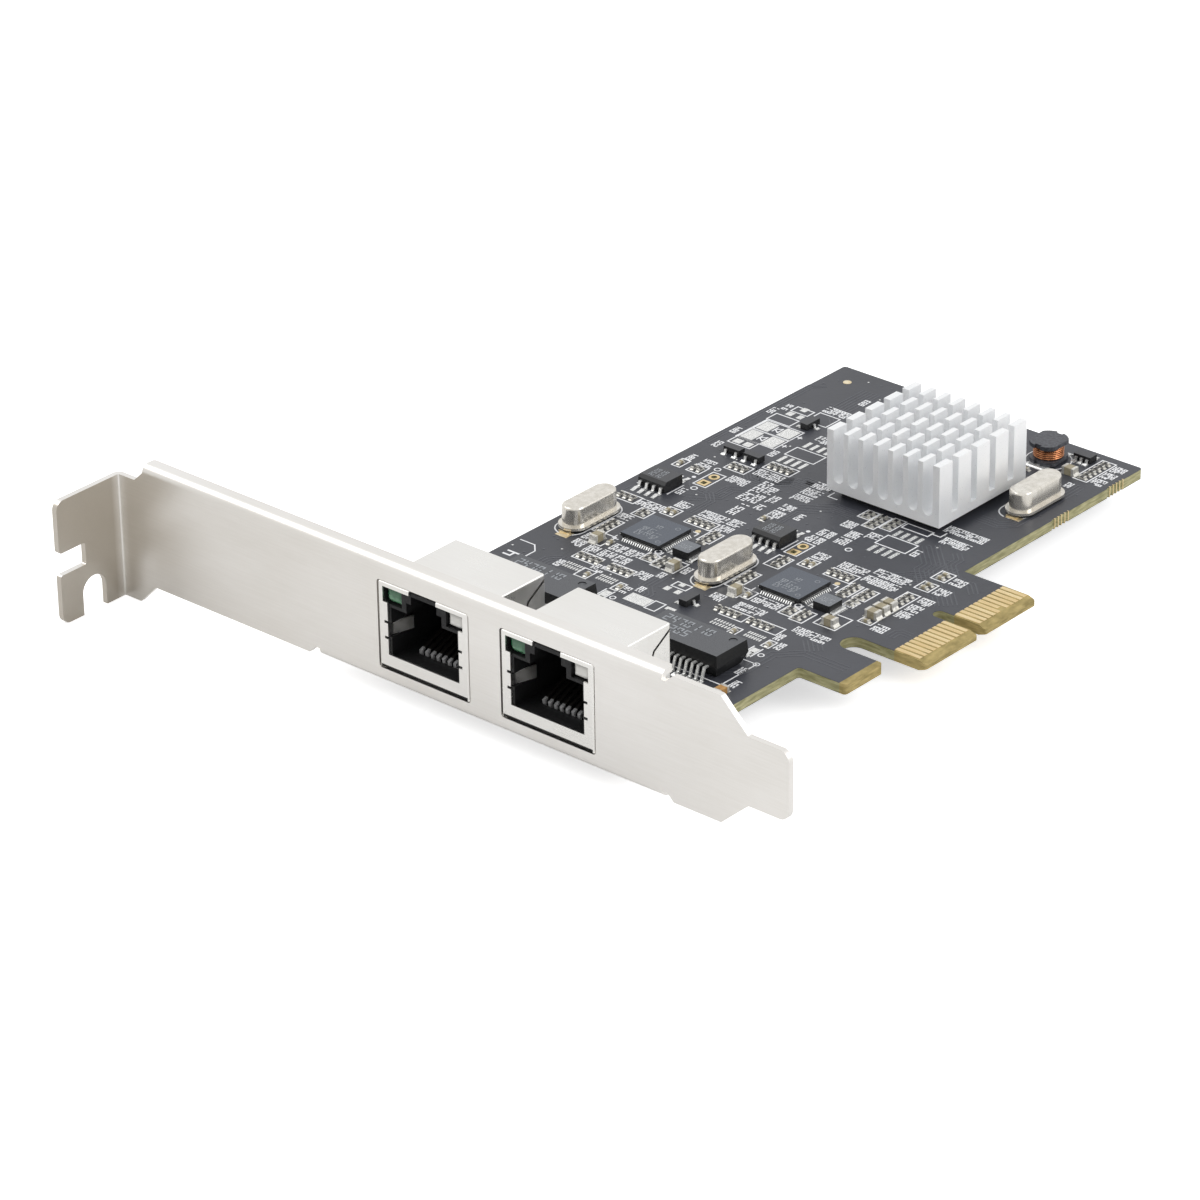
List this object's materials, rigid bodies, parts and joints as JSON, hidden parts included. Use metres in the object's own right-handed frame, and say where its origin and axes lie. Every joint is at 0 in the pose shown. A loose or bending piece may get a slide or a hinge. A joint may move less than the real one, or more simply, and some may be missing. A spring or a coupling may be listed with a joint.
{
  "type": "network interface card",
  "caption": "Short expansion card with shielded network jacks, a full-height slot bracket and a pin-fin heat sink.",
  "frame": {"origin": "bottom centre of the overall box of the card as it lies flat with its components up", "axes": "+X along the bracket from its screw tab to its tongue, which is also the way that the edge connector points; +Y from the bracket's front face into the card; +Z out of the component side"},
  "size_m": [0.12, 0.1248, 0.0215],
  "materials": {
    "nickel_steel": "satin nickel plate",
    "screw_steel": "bright zinc plate",
    "board_mask": "dark grey solder mask over glass epoxy",
    "gold_plate": "gold plate, satin",
    "aluminium": "machined, natural",
    "tinned_lead": "bright tin",
    "nickel_can": "drawn nickel silver, satin",
    "black_moulding": "moulded, matt",
    "chip_black": "moulded epoxy, matt",
    "ferrite": "sintered ferrite, matt",
    "copper_wire": "enamelled copper wire",
    "beige_ceramic": "fired ceramic",
    "resistor_black": "glazed",
    "tan_ceramic": "fired ceramic",
    "green_lens": "tinted clear moulding",
    "clear_lens": "clear moulding",
    "pad_grey": "soft adhesive pad"
  },
  "bodies": {
    "root": {"bracket": "nickel_steel", "bracket_screws": "screw_steel", "circuit_board": "board_mask", "edge_contacts": "gold_plate", "switch_chip": "chip_black", "thermal_pad": "pad_grey", "heat_sink": "aluminium", "memory_chips": "chip_black", "memory_chip_leads": "tinned_lead", "crystal_bases": "black_moulding", "crystal_cans": "nickel_can", "crystal_leads": "gold_plate", "drum_inductor_core": "ferrite", "drum_inductor_winding": "copper_wire", "drum_inductor_terminals": "tinned_lead", "shielded_inductors": "ferrite", "shielded_inductor_terminals": "tinned_lead", "transistor_bodies": "chip_black", "transistor_leads": "tinned_lead", "chip_capacitors": "beige_ceramic", "large_chip_capacitors": "beige_ceramic", "chip_resistors": "resistor_black", "surge_suppressor": "tan_ceramic", "jack_1_shield": "nickel_steel", "jack_1_housing": "black_moulding", "jack_1_contacts": "gold_plate", "jack_1_green_light": "green_lens", "jack_1_clear_light": "clear_lens", "transformer_1_body": "chip_black", "transformer_1_pins": "tinned_lead", "network_chip_1": "chip_black", "network_chip_1_terminals": "tinned_lead", "jack_2_shield": "nickel_steel", "jack_2_housing": "black_moulding", "jack_2_contacts": "gold_plate", "jack_2_green_light": "green_lens", "jack_2_clear_light": "clear_lens", "transformer_2_body": "chip_black", "transformer_2_pins": "tinned_lead", "network_chip_2": "chip_black", "network_chip_2_terminals": "tinned_lead"}
  },
  "joints": []
}
